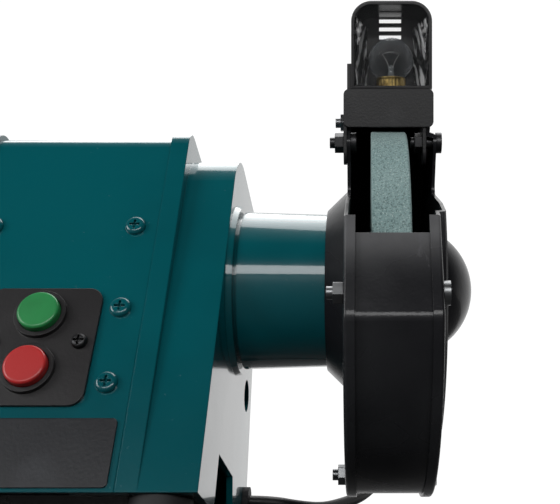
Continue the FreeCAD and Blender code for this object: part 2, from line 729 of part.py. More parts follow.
# Wheel guards: an inner and an outer pan with a band between them, open towards the operator.
guard_inside = "(wheel_centre - guard_width / 2)"
guard_outside = "(wheel_centre + guard_width / 2)"
lap = "guard_sheet + 0.1"
mouth = [("-130", "rim_lip_rise"), ("-front_flat - 0.9", "rim_lip_rise"), ("-62", "11"), ("-28.8", "36.2"),
         ("-42", "46"), ("-50.3", "50"), ("-50.3", "60"), ("-42", "68"), ("band_top_end - 4", "76"),
         ("band_top_end - 4", "130"), ("-130", "130")]
pivot_along = "lamp_front + pivot_back * cos(lamp_lean) - pivot_rise * sin(lamp_lean)"
pivot_up = "lamp_rise + pivot_back * sin(lamp_lean) + pivot_rise * cos(lamp_lean)"
guard_bolt_places = [("-(front_flat - guard_sheet - 2.9)", "-36.7")]
guard_bolt_places += [("guard_bolt_circle * cos(%d)" % angle, "guard_bolt_circle * sin(%d)" % angle)
                      for angle in (105, 15, 285)]


def pan(name, side, near, far, plate_near, plate_far, outer_face):
    """A side plate with a rim turned over the band."""
    body = document.addObject("PartDesign::Body", name)
    body.Label = name
    body.Placement = frame_placement("shaft")
    skin = drum("band_radius + " + lap, "front_flat + " + lap)
    block, sketch = side_pad(body, side, drum_outline, skin, near, far)
    rounded = round_corners(body, block, sketch, [skin[0], skin[2]], "6 + " + lap)
    round_face_edges(body, rounded, side * number(outer_face), "1.3")
    inside = drum("band_radius + 0.1", "front_flat + 0.1")
    rim_near, rim_far = (plate_far, far) if outer_face == near else (near, plate_near)
    hollow, sketch = side_pocket(body, side, drum_outline, inside, rim_near, rim_far)
    round_corners(body, hollow, sketch, [inside[0], inside[2]], "6.1")
    return body


mouth_cutter = document.addObject("PartDesign::Body", "mouth_cutter")
mouth_cutter.Placement = frame_placement("shaft")
sketch = outline(mouth_cutter, "YZ", mouth, "-spindle_end - 20")
block = pad(mouth_cutter, sketch, "2 * spindle_end + 40")
round_corners(mouth_cutter, block, sketch, mouth[2:9], "4")


def open_mouth(body, name, side, near, far):
    """Bolt holes through a side plate, and the guard's mouth cut out of it."""
    holes = [(across, up, "guard_bolt_diameter / 2 + 0.2") for across, up in guard_bolt_places]
    holes.append((pivot_along, pivot_up, "pivot_bolt_diameter / 2 + 0.2"))
    side_pocket(body, side, rings, holes, near + " - 1", far + " + 5")
    name_it(difference(name, body, mouth_cutter), name)


for side, word in ((1, "right"), (-1, "left")):
    plate_far = guard_inside + " + guard_sheet"
    body = pan(word + "_inner_pan", side, guard_inside, guard_inside + " + rim_overlap", guard_inside,
               plate_far, guard_inside)
    hub_hole = [("0", "0", "dish_foot_radius + 0.5")]
    side_pocket(body, side, rings, hub_hole, guard_inside + " - 1", plate_far + " + 1")
    dish = [(guard_inside, "dish_foot_radius + 1"), (guard_inside, "dish_foot_radius"),
            ("dish_face - guard_sheet", "dish_radius"), ("dish_face - guard_sheet", "dish_bore"),
            ("dish_face", "dish_bore"), ("dish_face", "dish_radius - 0.63"),
            (plate_far, "dish_foot_radius - 0.63"), (plate_far, "dish_foot_radius + 1")]
    turn(body, outline(body, "XY", mirrored(side, dish)))
    screw_holes = [("guard_screw_circle * cos(%d)" % angle, "guard_screw_circle * sin(%d)" % angle, "2.2")
                   for angle in (45, 135, 225, 315)]
    side_pocket(body, side, rings, screw_holes, "dish_face - guard_sheet - 1", "dish_face + 1")
    open_mouth(body, word + "_inner_guard", side, guard_inside, plate_far)

    plate_near = guard_outside + " - guard_sheet"
    body = pan(word + "_outer_pan", side, guard_outside + " - rim_overlap", guard_outside, plate_near,
               guard_outside, guard_outside)
    hub_hole = [("0", "0", "plateau_radius + 0.5")]
    side_pocket(body, side, rings, hub_hole, plate_near + " - 1", guard_outside + " + 1")
    raised = guard_outside + " + plateau_height"
    cap = [(plate_near, "plateau_radius + 1"), (guard_outside, "plateau_radius + 1"),
           (guard_outside, "plateau_radius"), (raised + " - 0.8", "plateau_radius - 0.7"),
           (raised, "plateau_radius - 1.7"), (raised, "dome_radius"), (raised + " + dome_height", "0"),
           (raised + " + dome_height - guard_sheet", "0"), (raised + " - guard_sheet", "dome_radius - 1"),
           (raised + " - guard_sheet", "plateau_radius - 2.1"), (plate_near, "plateau_radius - 1.5")]
    turn(body, outline(body, "XY", mirrored(side, cap), arcs=(5, 7)))
    open_mouth(body, word + "_outer_guard", side, plate_near, guard_outside)

    band = document.addObject("PartDesign::Body", word + "_band_sheet")
    band.Label = word + "_band_sheet"
    band.Placement = frame_placement("shaft")
    skin = drum("band_radius", "front_flat")
    block, sketch = side_pad(band, side, drum_outline, skin, plate_far, plate_near)
    round_corners(band, block, sketch, [skin[0], skin[2]], "6")
    inside = drum("band_radius - guard_sheet", "front_flat - guard_sheet")
    hollow, sketch = side_pocket(band, side, drum_outline, inside, plate_far, plate_near)
    round_corners(band, hollow, sketch, [inside[0], inside[2]], "6 - guard_sheet")
    gap = oblong("-130", "lip_rise", "band_top_end", "130")
    side_pocket(band, side, outline, gap, plate_far + " - 1", plate_near + " + 1")
    middle = ("%d * wheel_centre" % side, "0", "0")
    exit_hole = rod(word + "_cable_hole", "cable_diameter / 2 + 2", "30", middle)
    outwards = Vector(0, number("cos(cable_exit_angle)"), number("sin(cable_exit_angle)"))
    exit_hole.Placement.Rotation = FreeCAD.Rotation(Vector(0, 0, 1), outwards)
    exit_hole.Placement.Base += outwards * number("band_radius - 15")
    name_it(difference(word + "_guard_band", band, exit_hole), word + "_guard_band")

    def along(value):
        return "%d * (%s)" % (side, value)

    outward, inward = ("x", "-x") if side > 0 else ("-x", "x")
    bolts = []
    for index, (across, up) in enumerate(guard_bolt_places):
        label = "%s_guard_bolt_%d" % (word, index)
        outer_end = (along(guard_outside), across, up)
        shank = rod(label + "_shank", "guard_bolt_diameter / 2", "guard_width + 6.5", outer_end, inward)
        head = rod(label + "_head", "4.75", "2.8", outer_end, outward)
        hexagon = nut(label + "_nut", "8", "4", (along(guard_inside), across, up), inward)
        bolts.append(union(label, [shank, head, hexagon]))
    group(word + "_guard_bolts", bolts)

mount_screws = []
for side, word in ((1, "right"), (-1, "left")):
    for angle in (45, 135, 225, 315):
        label = "mount_screw_%s_%d" % (word, angle)
        place = ("%d * dish_face" % side, "guard_screw_circle * cos(%d)" % angle,
                 "guard_screw_circle * sin(%d)" % angle)
        head = rod(label + "_head", "3.8", "2.8", place, "x" if side > 0 else "-x")
        shank = rod(label + "_shank", "1.9", "9", place, "-x" if side > 0 else "x")
        mount_screws.append(union(label, [head, shank]))
group("guard_mount_screws", mount_screws)

# Work lamps: a bent bracket that pivots on the guard's side plates, and on it an open-fronted housing.
lamp_half = "lamp_width / 2"


def beside(side, distance):
    """A distance from the middle of a wheel, counted outwards, as a distance along +X."""
    return "%d * (%s)" % (side, distance)


def lamp_oblong(side, half, low, high):
    return oblong("%s - (%s)" % (beside(side, "lamp_offset"), half), low,
                  "%s + (%s)" % (beside(side, "lamp_offset"), half), high)


def lamp(side, word):
    frame = "lamp_" + word
    bracket = new_body(word + "_lamp_bracket", frame)
    front = oblong("-bracket_width / 2", "bracket_bottom", "bracket_width / 2", "bracket_top")
    sketch = outline(bracket, "XZ", front, "bracket_stand_off")
    block = pad(bracket, sketch, "guard_sheet")
    round_corners(bracket, block, sketch, front, "2.5")
    ear_front = "pivot_back - ear_half_width"
    ear_back = "pivot_back + ear_half_width"
    ear = [("-bracket_stand_off - guard_sheet / 2", "bracket_top - 2.6"),
           ("-bracket_stand_off - guard_sheet / 2", "bracket_bottom + 2.6"),
           (ear_front, "bracket_bottom - 3"),
           (ear_front, "ear_bottom"), (ear_back, "ear_bottom"), (ear_back, "-6"),
           ("pivot_back + 1", "bracket_top - 2.6")]
    spans = (("-bracket_width / 2", "-bracket_width / 2 + guard_sheet"),
             ("guard_width / 2 - guard_sheet - 0.2 - guard_sheet", "guard_width / 2 - guard_sheet - 0.2"))
    for near, far in spans:
        block, sketch = side_pad(bracket, side, outline, ear, near, far)
        round_corners(bracket, block, sketch, ear[3:5], "ear_half_width - 0.4")
    arm = oblong("2", "-8", "10", "12")
    arm_near = "-bracket_width / 2 + guard_sheet"
    side_pad(bracket, side, outline, arm, arm_near, "lamp_offset - lamp_width / 2")
    pivot = [("pivot_back", "pivot_rise", "pivot_bolt_diameter / 2 + 0.1")]
    side_pocket(bracket, side, rings, pivot, "-bracket_width", "bracket_width")

    housing = new_body(word + "_lamp_housing", frame)
    shell = lamp_oblong(side, lamp_half, "0", "lamp_length")
    shell_sketch = outline(housing, "XZ", shell, "-lamp_depth")
    pad(housing, shell_sketch, "lamp_depth")
    inside = lamp_oblong(side, lamp_half + " - lamp_wall", "lamp_wall", "lamp_length - lamp_wall")
    sketch = outline(housing, "XZ", inside, "-lamp_depth + lamp_wall")
    hollow = pocket(housing, sketch, "lamp_depth")
    rounded = round_corners(housing, hollow, sketch, inside[2:4], "lamp_corner - lamp_wall")
    round_corners(housing, rounded, shell_sketch, shell[2:4], "lamp_corner")
    neck = [(beside(side, "lamp_offset"), "bulb_back", "bulb_cap_diameter / 2 + 0.3")]
    pocket(housing, rings(housing, "XY", neck, "-1"), "lamp_wall + 2")
    for step in range(3):
        middle = "lamp_length - 3 - vent_pitch * %d" % step
        vent = lamp_oblong(side, "vent_length / 2", middle + " - vent_height / 2",
                           middle + " + vent_height / 2")
        pocket(housing, outline(housing, "XZ", vent, "-lamp_depth - 1"), "lamp_wall + 2")
    vent = lamp_oblong(side, "vent_length / 2", "bulb_back - vent_height / 2", "bulb_back + vent_height / 2")
    pocket(housing, outline(housing, "XY", vent, "lamp_length - lamp_wall - 1"), "lamp_wall + 2")

    lens = new_body(word + "_lamp_lens", frame)
    pane = lamp_oblong(side, lamp_half + " - lamp_wall", "lamp_wall", "lamp_length - lamp_wall")
    sketch = outline(lens, "XZ", pane, "-1")
    block = pad(lens, sketch, "1")
    round_corners(lens, block, sketch, pane[2:4], "lamp_corner - lamp_wall")

    centre = beside(side, "lamp_offset")
    outside = rod(word + "_socket_outside", "socket_diameter / 2", "socket_top - socket_bottom",
                  (centre, "bulb_back", "socket_bottom"), "z", frame)
    bore = rod(word + "_socket_bore", "bulb_cap_diameter / 2", "socket_top - bulb_cap_bottom + 1",
               (centre, "bulb_back", "bulb_cap_bottom"), "z", frame)
    name_it(difference(word + "_lamp_socket", outside, bore), word + "_lamp_socket")

    cap = rod(word + "_cap_outside", "bulb_cap_diameter / 2", "bulb_cap_top - bulb_cap_bottom",
              (centre, "bulb_back", "bulb_cap_bottom"), "z", frame)
    bore = rod(word + "_cap_bore", "bulb_cap_diameter / 2 - 0.8", "bulb_cap_top - bulb_cap_bottom",
               (centre, "bulb_back", "bulb_cap_bottom + 3"), "z", frame)
    name_it(difference(word + "_bulb_cap", cap, bore), word + "_bulb_cap")

    globes = []
    for skin in ("0", "0.9"):
        ball = document.addObject("Part::Sphere", word + "_globe")
        bind(ball, "Radius", "bulb_diameter / 2 - " + skin)
        middle = Vector(number(centre), number("bulb_back"), number("bulb_rise"))
        ball.Placement = frame_placement(frame).multiply(FreeCAD.Placement(middle, FreeCAD.Rotation()))
        low = "bulb_cap_top - 3" if skin == "0" else "bulb_cap_top - 4"
        stem = rod(word + "_stem", "bulb_cap_diameter / 2 - 0.8 - " + skin, "bulb_rise - bulb_cap_top + 4",
                   (centre, "bulb_back", low), "z", frame)
        globes.append(union(word + "_globe_shape", [ball, stem]))
    name_it(difference(word + "_bulb_glass", globes[0], globes[1]), word + "_bulb_glass")


lamp(1, "right")
lamp(-1, "left")

pivot_bolts = []
for side, word in ((1, "right"), (-1, "left")):
    frame = "lamp_" + word
    outward, inward = ("x", "-x") if side > 0 else ("-x", "x")
    label = word + "_inner_pivot"

    def at(distance):
        return (beside(side, distance), "pivot_back", "pivot_rise")

    inner_plate = "-guard_width / 2"
    ear_face = "-bracket_width / 2"
    plate_face = inner_plate + " + guard_sheet"
    shank = rod(label + "_shank", "pivot_bolt_diameter / 2", "9.5", at(plate_face), inward, frame)
    head = rod(label + "_head", "4.75", "2.6", at(plate_face), outward, frame)
    hexagon = nut(label + "_nut", "8", "4", at(ear_face + " - 0.1"), inward, frame)
    pivot_bolts.append(union(label, [shank, head, hexagon]))
    label = word + "_outer_pivot"
    plate_face = "guard_width / 2 + plateau_height"
    ear_face = "guard_width / 2 - guard_sheet - 0.2"
    shank = rod(label + "_shank", "pivot_bolt_diameter / 2", "11.5", at(plate_face), inward, frame)
    head = rod(label + "_head", "4.75", "2.6", at(plate_face), outward, frame)
    spacer = rod(label + "_spacer", "2.8", "plateau_height", at(plate_face + " - guard_sheet"), inward, frame)
    hexagon = nut(label + "_nut", "8", "3.5", at(ear_face + " - guard_sheet - 0.1"), inward, frame)
    pivot_bolts.append(union(label, [shank, head, spacer, hexagon]))
group("lamp_pivot_bolts", pivot_bolts)

# Lamp leads: from the top of each guard round behind it, and into the side of the casting.
exit_cos = number("cos(cable_exit_angle)")
exit_sin = number("sin(cable_exit_angle)")
lead_route = [("wheel_centre", "(band_radius - 3) * cos(cable_exit_angle)",
               "(band_radius - 3) * sin(cable_exit_angle)"),
              ("wheel_centre", "(band_radius + 18.4) * cos(cable_exit_angle)",
               "(band_radius + 18.4) * sin(cable_exit_angle)"),
              ("wheel_centre", "123", "-33.5"), ("141", "127", "-49"), ("138", "119.5", "-63"),
              ("130", "106", "-74"), ("119", "92", "-81"), ("109", "79", "-86"), ("98", "67", "-87.5"),
              ("84", "grommet_back", "grommet_rise"),
              ("side_face - 3", "grommet_back", "grommet_rise")]


def tube(name, route, diameter):
    """A round cord along straight runs joined by tangent arcs."""
    points = [Vector(*[number(part) for part in place]) for place in route]
    points = [point + Vector(0, 0, number("shaft_height")) for point in points]
    edges = []
    radii = []
    here = points[0]
    for before, corner, after in zip(points, points[1:], points[2:]):
        arriving = (corner - before).normalize()
        leaving = (after - corner).normalize()
        half_turn = arriving.getAngle(leaving) / 2
        reach = 0.45 * min((corner - before).Length, (after - corner).Length)
        radii.append(reach / math.tan(half_turn))
        start = corner - arriving * reach
        finish = corner + leaving * reach
        inward = (leaving - arriving).normalize()
        middle = corner + inward * (radii[-1] / math.cos(half_turn) - radii[-1])
        edges.append(Part.LineSegment(here, start).toShape())
        edges.append(Part.Arc(start, middle, finish).toShape())
        here = finish
    edges.append(Part.LineSegment(here, points[-1]).toShape())
    path = Part.Wire(edges)
    circle = Part.Circle(points[0], points[1] - points[0], number(diameter) / 2)
    section = Part.Wire([circle.toShape()])
    solid = path.makePipeShell([section], True, True)
    full = path.Length * math.pi * number(diameter) ** 2 / 4
    bends = " ".join("%.0f" % radius for radius in radii)
    ratio = solid.Volume / full
    print("%s: length %.1f mm, bends of %s mm, volume ratio %.4f" % (name, path.Length, bends, ratio))
    thing = document.addObject("Part::Feature", name)
    thing.Shape = solid
    return name_it(thing, name)


tube("right_lamp_cable", lead_route, "cable_diameter")
tube("left_lamp_cable", [("-(%s)" % x, y, z) for x, y, z in lead_route], "cable_diameter")

grommets = []
for side, word in ((1, "right"), (-1, "left")):
    inward = "-x" if side > 0 else "x"
    label = word + "_side_grommet"
    place = ("%d * (side_face + 3)" % side, "grommet_back", "grommet_rise")
    flange = rod(label + "_flange", "grommet_diameter / 2 + 1", "3", place, inward)
    neck = rod(label + "_neck", "cable_diameter / 2 + 2", "8", place, inward)
    outside = ("%d * (side_face + 10)" % side,) + place[1:]
    bore = rod(label + "_bore", "cable_diameter / 2", "20", outside, inward)
    grommets.append(difference(label, union(label + "_solid", [flange, neck]), bore))
    label = word + "_band_grommet"
    pieces = []
    for piece, radius, length, start in (("flange", "grommet_diameter / 2 + 1", "3", "band_radius + 0.6"),
                                         ("neck", "cable_diameter / 2 + 2", "6", "band_radius - 3"),
                                         ("bore", "cable_diameter / 2", "20", "band_radius - 6")):
        part = rod(label + "_" + piece, radius, length, ("%d * wheel_centre" % side, "0", "0"))
        part.Placement.Rotation = FreeCAD.Rotation(Vector(0, 0, 1), Vector(0, exit_cos, exit_sin))
        part.Placement.Base += Vector(0, exit_cos, exit_sin) * number(start)
        pieces.append(part)
    grommets.append(difference(label, union(label + "_solid", pieces[:2]), pieces[2]))
group("cable_grommets", grommets)

# Every piece of the assembly is written to its own file once it has been checked.
document.recompute()
assert len(sub_parts) <= 60
for thing in document.Objects:
    assert not {"Invalid", "Error"} & set(thing.State), "%s is %s" % (thing.Label, thing.State)
for thing in sub_parts:
    assert not thing.Shape.isNull() and thing.Shape.isValid(), "%s has no valid shape" % thing.Label
os.makedirs("parts", exist_ok=True)
for thing in sub_parts:
    thing.Shape.exportStep("parts/%s.step" % thing.Label)
    box = thing.Shape.BoundBox
    print("%-24s %9.0f mm3  X %7.1f %7.1f  Y %7.1f %7.1f  Z %6.1f %6.1f  solids %d" % (
        thing.Label, thing.Shape.Volume, box.XMin, box.XMax, box.YMin, box.YMax, box.ZMin, box.ZMax,
        len(thing.Shape.Solids)))
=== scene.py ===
import json
import math
import bmesh
import bpy
import numpy as np
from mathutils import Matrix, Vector


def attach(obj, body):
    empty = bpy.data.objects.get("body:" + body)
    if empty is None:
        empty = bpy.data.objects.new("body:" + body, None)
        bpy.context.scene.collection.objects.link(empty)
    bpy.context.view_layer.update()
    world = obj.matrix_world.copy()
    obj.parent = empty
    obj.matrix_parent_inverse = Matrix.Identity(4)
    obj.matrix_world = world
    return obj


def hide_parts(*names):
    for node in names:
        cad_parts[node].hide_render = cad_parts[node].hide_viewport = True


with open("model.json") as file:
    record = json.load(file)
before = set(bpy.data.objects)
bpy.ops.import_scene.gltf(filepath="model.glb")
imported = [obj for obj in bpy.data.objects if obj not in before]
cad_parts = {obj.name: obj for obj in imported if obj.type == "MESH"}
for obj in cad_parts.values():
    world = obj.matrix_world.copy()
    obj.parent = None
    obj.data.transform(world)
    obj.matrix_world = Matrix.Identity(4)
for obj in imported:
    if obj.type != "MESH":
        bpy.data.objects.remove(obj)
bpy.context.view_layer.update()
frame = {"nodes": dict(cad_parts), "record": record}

nodes = frame["nodes"]
print("frame loaded:", len(nodes), "pieces")


# shader maths written as expressions
class Sock:
    def __init__(self, tree, socket):
        self.tree = tree
        self.socket = socket

    def maths(self, kind, other=0.0, swap=False):
        node = self.tree.nodes.new("ShaderNodeMath")
        node.operation = kind
        pair = (other, self) if swap else (self, other)
        for slot, value in zip(node.inputs, pair):
            if isinstance(value, Sock):
                self.tree.links.new(value.socket, slot)
            else:
                slot.default_value = value
        return Sock(self.tree, node.outputs[0])

    def __add__(self, other): return self.maths("ADD", other)
    def __radd__(self, other): return self.maths("ADD", other)
    def __sub__(self, other): return self.maths("SUBTRACT", other)
    def __rsub__(self, other): return self.maths("SUBTRACT", other, swap=True)
    def __mul__(self, other): return self.maths("MULTIPLY", other)
    def __rmul__(self, other): return self.maths("MULTIPLY", other)
    def __pow__(self, other): return self.maths("POWER", other)
    def wave(self): return self.maths("SINE")

    def ramp(self, low, high):      # 0 below low, 1 above high, smooth between
        node = self.tree.nodes.new("ShaderNodeMapRange")
        node.interpolation_type = "SMOOTHSTEP"
        self.tree.links.new(self.socket, node.inputs["Value"])
        node.inputs["From Min"].default_value = low
        node.inputs["From Max"].default_value = high
        return Sock(self.tree, node.outputs["Result"])


class Finish:                       # one procedural material, on a Principled shader
    def __init__(self, name, color, roughness, metallic=0.0, coat=0.0, coatRoughness=0.08, specular=0.5):
        self.material = bpy.data.materials.new(name)
        self.material.use_nodes = True
        self.tree = self.material.node_tree
        self.shader = self.tree.nodes["Principled BSDF"]
        self.output = self.tree.nodes["Material Output"]
        self.edge = 0.0006          # how softly the light turns round a sharp edge
        self.set("Base Color", (*color, 1.0))
        self.set("Roughness", roughness)
        self.set("Metallic", metallic)
        self.set("Coat Weight", coat)
        self.set("Coat Roughness", coatRoughness)
        self.set("Specular IOR Level", specular)
        self.place = self.node("ShaderNodeTexCoord", {}, {}, "Object")
        axes = self.node("ShaderNodeSeparateXYZ", {}, {"Vector": self.place}, "X")
        self.x = axes
        self.y = Sock(self.tree, axes.socket.node.outputs["Y"])
        self.z = Sock(self.tree, axes.socket.node.outputs["Z"])

    def node(self, kind, settings, values, result):
        node = self.tree.nodes.new(kind)
        for word, value in settings.items():
            setattr(node, word, value)
        for word, value in values.items():
            if isinstance(value, Sock):
                self.tree.links.new(value.socket, node.inputs[word])
            else:
                node.inputs[word].default_value = value
        return Sock(self.tree, node.outputs[result])

    def set(self, word, value):
        if isinstance(value, Sock):
            self.tree.links.new(value.socket, self.shader.inputs[word])
        else:
            self.shader.inputs[word].default_value = value

    def noise(self, scale, detail=3.0, roughness=0.5, stretch=(1, 1, 1)):
        place = self.place
        if stretch != (1, 1, 1):
            place = self.node("ShaderNodeMapping", {}, {"Vector": place, "Scale": stretch}, "Vector")
        return self.node("ShaderNodeTexNoise", {}, {"Vector": place, "Scale": scale, "Detail": detail,
                                                    "Roughness": roughness}, "Fac")

    def grains(self, scale):
        return self.node("ShaderNodeTexVoronoi", {}, {"Vector": self.place, "Scale": scale}, "Distance")

    def blend(self, factor, first, second):     # a colour between two, each a tuple or a socket
        node = self.tree.nodes.new("ShaderNodeMix")
        node.data_type = "RGBA"
        for place, value in ((0, factor), (6, first), (7, second)):
            if isinstance(value, Sock):
                self.tree.links.new(value.socket, node.inputs[place])
            elif place == 0:
                node.inputs[place].default_value = value
            else:
                node.inputs[place].default_value = (*value, 1.0)
        return Sock(self.tree, node.outputs[2])

    def bump(self, height, distance, strength=1.0):
        edges = self.node("ShaderNodeBevel", {"samples": 4}, {"Radius": self.edge}, "Normal")
        self.set("Normal", self.node("ShaderNodeBump", {}, {"Height": height, "Distance": distance,
                                                           "Strength": strength, "Normal": edges}, "Normal"))

    def clear(self, factor):        # part of the light goes straight through, as in thin glass
        through = self.tree.nodes.new("ShaderNodeBsdfTransparent")
        mix = self.tree.nodes.new("ShaderNodeMixShader")
        self.tree.links.new(factor.socket, mix.inputs[0])
        self.tree.links.new(through.outputs[0], mix.inputs[1])
        self.tree.links.new(self.shader.outputs[0], mix.inputs[2])
        self.tree.links.new(mix.outputs[0], self.output.inputs[0])


# finishes
def tealEnamel(name):
    paint = {"color": (0.0, 0.098, 0.116), "deep": (0.0, 0.070, 0.085), "dust": (0.10, 0.20, 0.21)}
    f = Finish(name, paint["color"], 0.2, coat=0.85, coatRoughness=0.05, specular=0.2)
    f.edge = 0.0009
    cloud = f.noise(9.0, 4.0)
    dust = f.noise(420.0, 2.0, 0.6).ramp(0.70, 0.80) * f.noise(30.0).ramp(0.45, 0.65) * 0.35
    clouded = f.blend(cloud.ramp(0.3, 0.75), paint["color"], paint["deep"])
    f.set("Base Color", f.blend(dust, clouded, paint["dust"]))
    f.set("Roughness", 0.17 + 0.12 * f.noise(26.0) + dust * 0.4)
    f.bump(f.noise(330.0, 2.0) * 0.6 + f.noise(60.0, 2.0), 0.00035, 0.22)      # orange peel of a sprayed coat
    return f.material


def guardCoat():
    # the palest grey below is painted sheen, standing in for a reflection at the top of the flat front
    coat = {"color": (0.011, 0.011, 0.013), "scuff": (0.10, 0.10, 0.11), "worn": (0.022, 0.023, 0.025),
            "paintedSheen": (0.16, 0.16, 0.165)}
    f = Finish("guardCoat", coat["color"], 0.32, specular=0.32)
    f.edge = 0.00025
    front = (f.y * -1.0).ramp(0.070, 0.0795)                                 # the flat front is touched most, and it also carries the painted sheen
    streaks = f.noise(95.0, 5.0, 0.65, (1.0, 1.0, 0.35)).ramp(0.60, 0.72)
    patch = f.noise(24.0, 3.0).ramp(0.42, 0.62) * f.z.ramp(0.075, 0.10) * front
    scuff = streaks * patch
    wear = f.noise(14.0, 3.0).ramp(0.35, 0.7)
    base = f.blend(wear, coat["color"], coat["worn"])
    paintedSheen = f.z.ramp(0.076, 0.104) * front * (0.55 + 0.45 * f.noise(60.0, 4.0))   # painted sheen: the top of the flat front, below the mouth, is painted light grey where a reflection falls
    base = f.blend(paintedSheen * paintedSheen, base, coat["paintedSheen"])
    f.set("Base Color", f.blend(scuff * 0.75, base, coat["scuff"]))
    f.set("Roughness", 0.20 + 0.10 * wear + 0.2 * scuff + 0.12 * paintedSheen)
    f.bump(f.noise(900.0, 2.0) * 0.5 + f.noise(180.0, 3.0), 0.00022, 0.35)
    return f.material


def satinBlack(name, color, roughness, grain=700.0, depth=0.00012):
    f = Finish(name, color, roughness, specular=0.4)
    pits = f.noise(grain, 2.0)
    f.set("Roughness", roughness + 0.12 * (f.noise(35.0, 3.0) - 0.5))
    paler = tuple(c * 2.2 + 0.01 for c in color)
    f.set("Base Color", f.blend(f.noise(50.0, 4.0).ramp(0.55, 0.8) * 0.5, color, paler))
    f.bump(pits, depth, 0.5)
    return f.material


def moulded(name, color, roughness):
    f = Finish(name, color, roughness, coat=0.2)
    f.set("Base Color", f.blend(f.noise(40.0, 3.0).ramp(0.4, 0.7), color, tuple(c * 0.75 for c in color)))
    f.set("Roughness", roughness + 0.08 * f.noise(60.0, 3.0))
    f.bump(f.noise(600.0, 2.0), 0.0001, 0.3)
    return f.material


def metal(name, color, roughness, scale=300.0, stretch=(1, 1, 1)):
    f = Finish(name, color, roughness, metallic=1.0)
    brushed = f.noise(scale, 3.0, 0.6, stretch)
    f.set("Base Color", f.blend(f.noise(70.0, 3.0).ramp(0.5, 0.8), color, tuple(c * 0.72 for c in color)))
    f.set("Roughness", roughness + 0.22 * (brushed - 0.35))
    f.bump(brushed, 0.00008, 0.4)
    return f.material


def abrasive():
    stone = {"body": (0.215, 0.320, 0.315), "dark": (0.075, 0.125, 0.125), "light": (0.46, 0.57, 0.56)}
    f = Finish("abrasive", stone["body"], 0.85, specular=0.25)
    coarse = f.noise(1250.0, 3.0, 0.7)
    darkGrit = coarse.ramp(0.52, 0.60)
    lightGrit = f.noise(1450.0, 3.0, 0.7).ramp(0.56, 0.64)
    color = f.blend(darkGrit * 0.8, stone["body"], stone["dark"])
    color = f.blend(lightGrit * 0.8, color, stone["light"])
    f.set("Base Color", f.blend(f.noise(22.0, 4.0).ramp(0.4, 0.75) * 0.25, color, stone["light"]))
    f.set("Roughness", 0.78 + 0.2 * darkGrit)
    f.bump(f.grains(900.0) + coarse * 0.8, 0.0005, 0.6)
    return f.material


def laminations():
    f = Finish("laminations", (0.32, 0.32, 0.33), 0.45, metallic=1.0)
    lines = (f.x * 12566.0).wave().ramp(-0.2, 0.6)                           # sheets half a millimetre thick
    f.set("Base Color", f.blend(lines, (0.16, 0.16, 0.17), (0.36, 0.36, 0.37)))
    f.bump(lines, 0.0001, 0.6)
    return f.material


def windings():
    f = Finish("windings", (0.42, 0.16, 0.06), 0.3, metallic=0.6, coat=0.5)
    turns = f.grains(1200.0)
    f.set("Base Color", f.blend(turns.ramp(0.1, 0.6), (0.20, 0.07, 0.03), (0.50, 0.21, 0.09)))
    f.bump(turns, 0.0004, 0.8)
    return f.material


def rubber(name, color=(0.016, 0.016, 0.017), roughness=0.6):
    f = Finish(name, color, roughness, specular=0.35)
    bloom = f.noise(45.0, 4.0).ramp(0.5, 0.8)
    f.set("Base Color", f.blend(bloom * 0.4, color, (0.06, 0.06, 0.06)))
    f.set("Roughness", roughness + 0.15 * bloom)
    f.bump(f.noise(800.0, 2.0), 0.0001, 0.5)
    return f.material


def clearSkin(name, tint, base, edge):      # thin glass or clear plastic, clearer head on than at its edges
    f = Finish(name, tint, 0.04, specular=0.9)
    f.set("Coat Weight", 1.0)
    rim = f.node("ShaderNodeLayerWeight", {}, {"Blend": 0.35}, "Facing")
    haze = f.noise(30.0, 3.0).ramp(0.4, 0.8)
    f.set("Roughness", 0.03 + 0.06 * haze)
    f.clear((rim ** 2.0) * edge + base + haze * 0.02)
    return f.material


def paintedStreakRib():                   # painted reflections: bright bands painted up and down a moulded clear rib, dark between, for the streaks of light in the lamp's clear sides
    f = Finish("paintedStreakLiner", (0.6, 0.6, 0.6), 0.12, coat=0.8)
    ripple = f.noise(230.0, 3.0, 0.55, (1.0, 1.0, 0.16))
    # the base colour is painted with reflection streaks, not a chrome finish
    f.set("Base Color", f.blend(ripple.ramp(0.50, 0.60), (0.012, 0.012, 0.013), (0.90, 0.91, 0.92)))
    f.set("Roughness", 0.08 + 0.1 * f.noise(120.0, 2.0))
    f.bump(ripple, 0.001, 0.8)
    return f.material


def agedBrass():
    f = Finish("agedBrass", (0.40, 0.27, 0.07), 0.34, metallic=1.0)
    tarnish = f.noise(160.0, 4.0).ramp(0.42, 0.7)
    f.set("Base Color", f.blend(tarnish, (0.46, 0.33, 0.11), (0.15, 0.10, 0.03)))
    f.set("Roughness", 0.28 + 0.25 * tarnish)
    f.bump(f.noise(500.0, 2.0), 0.0001, 0.4)
    return f.material


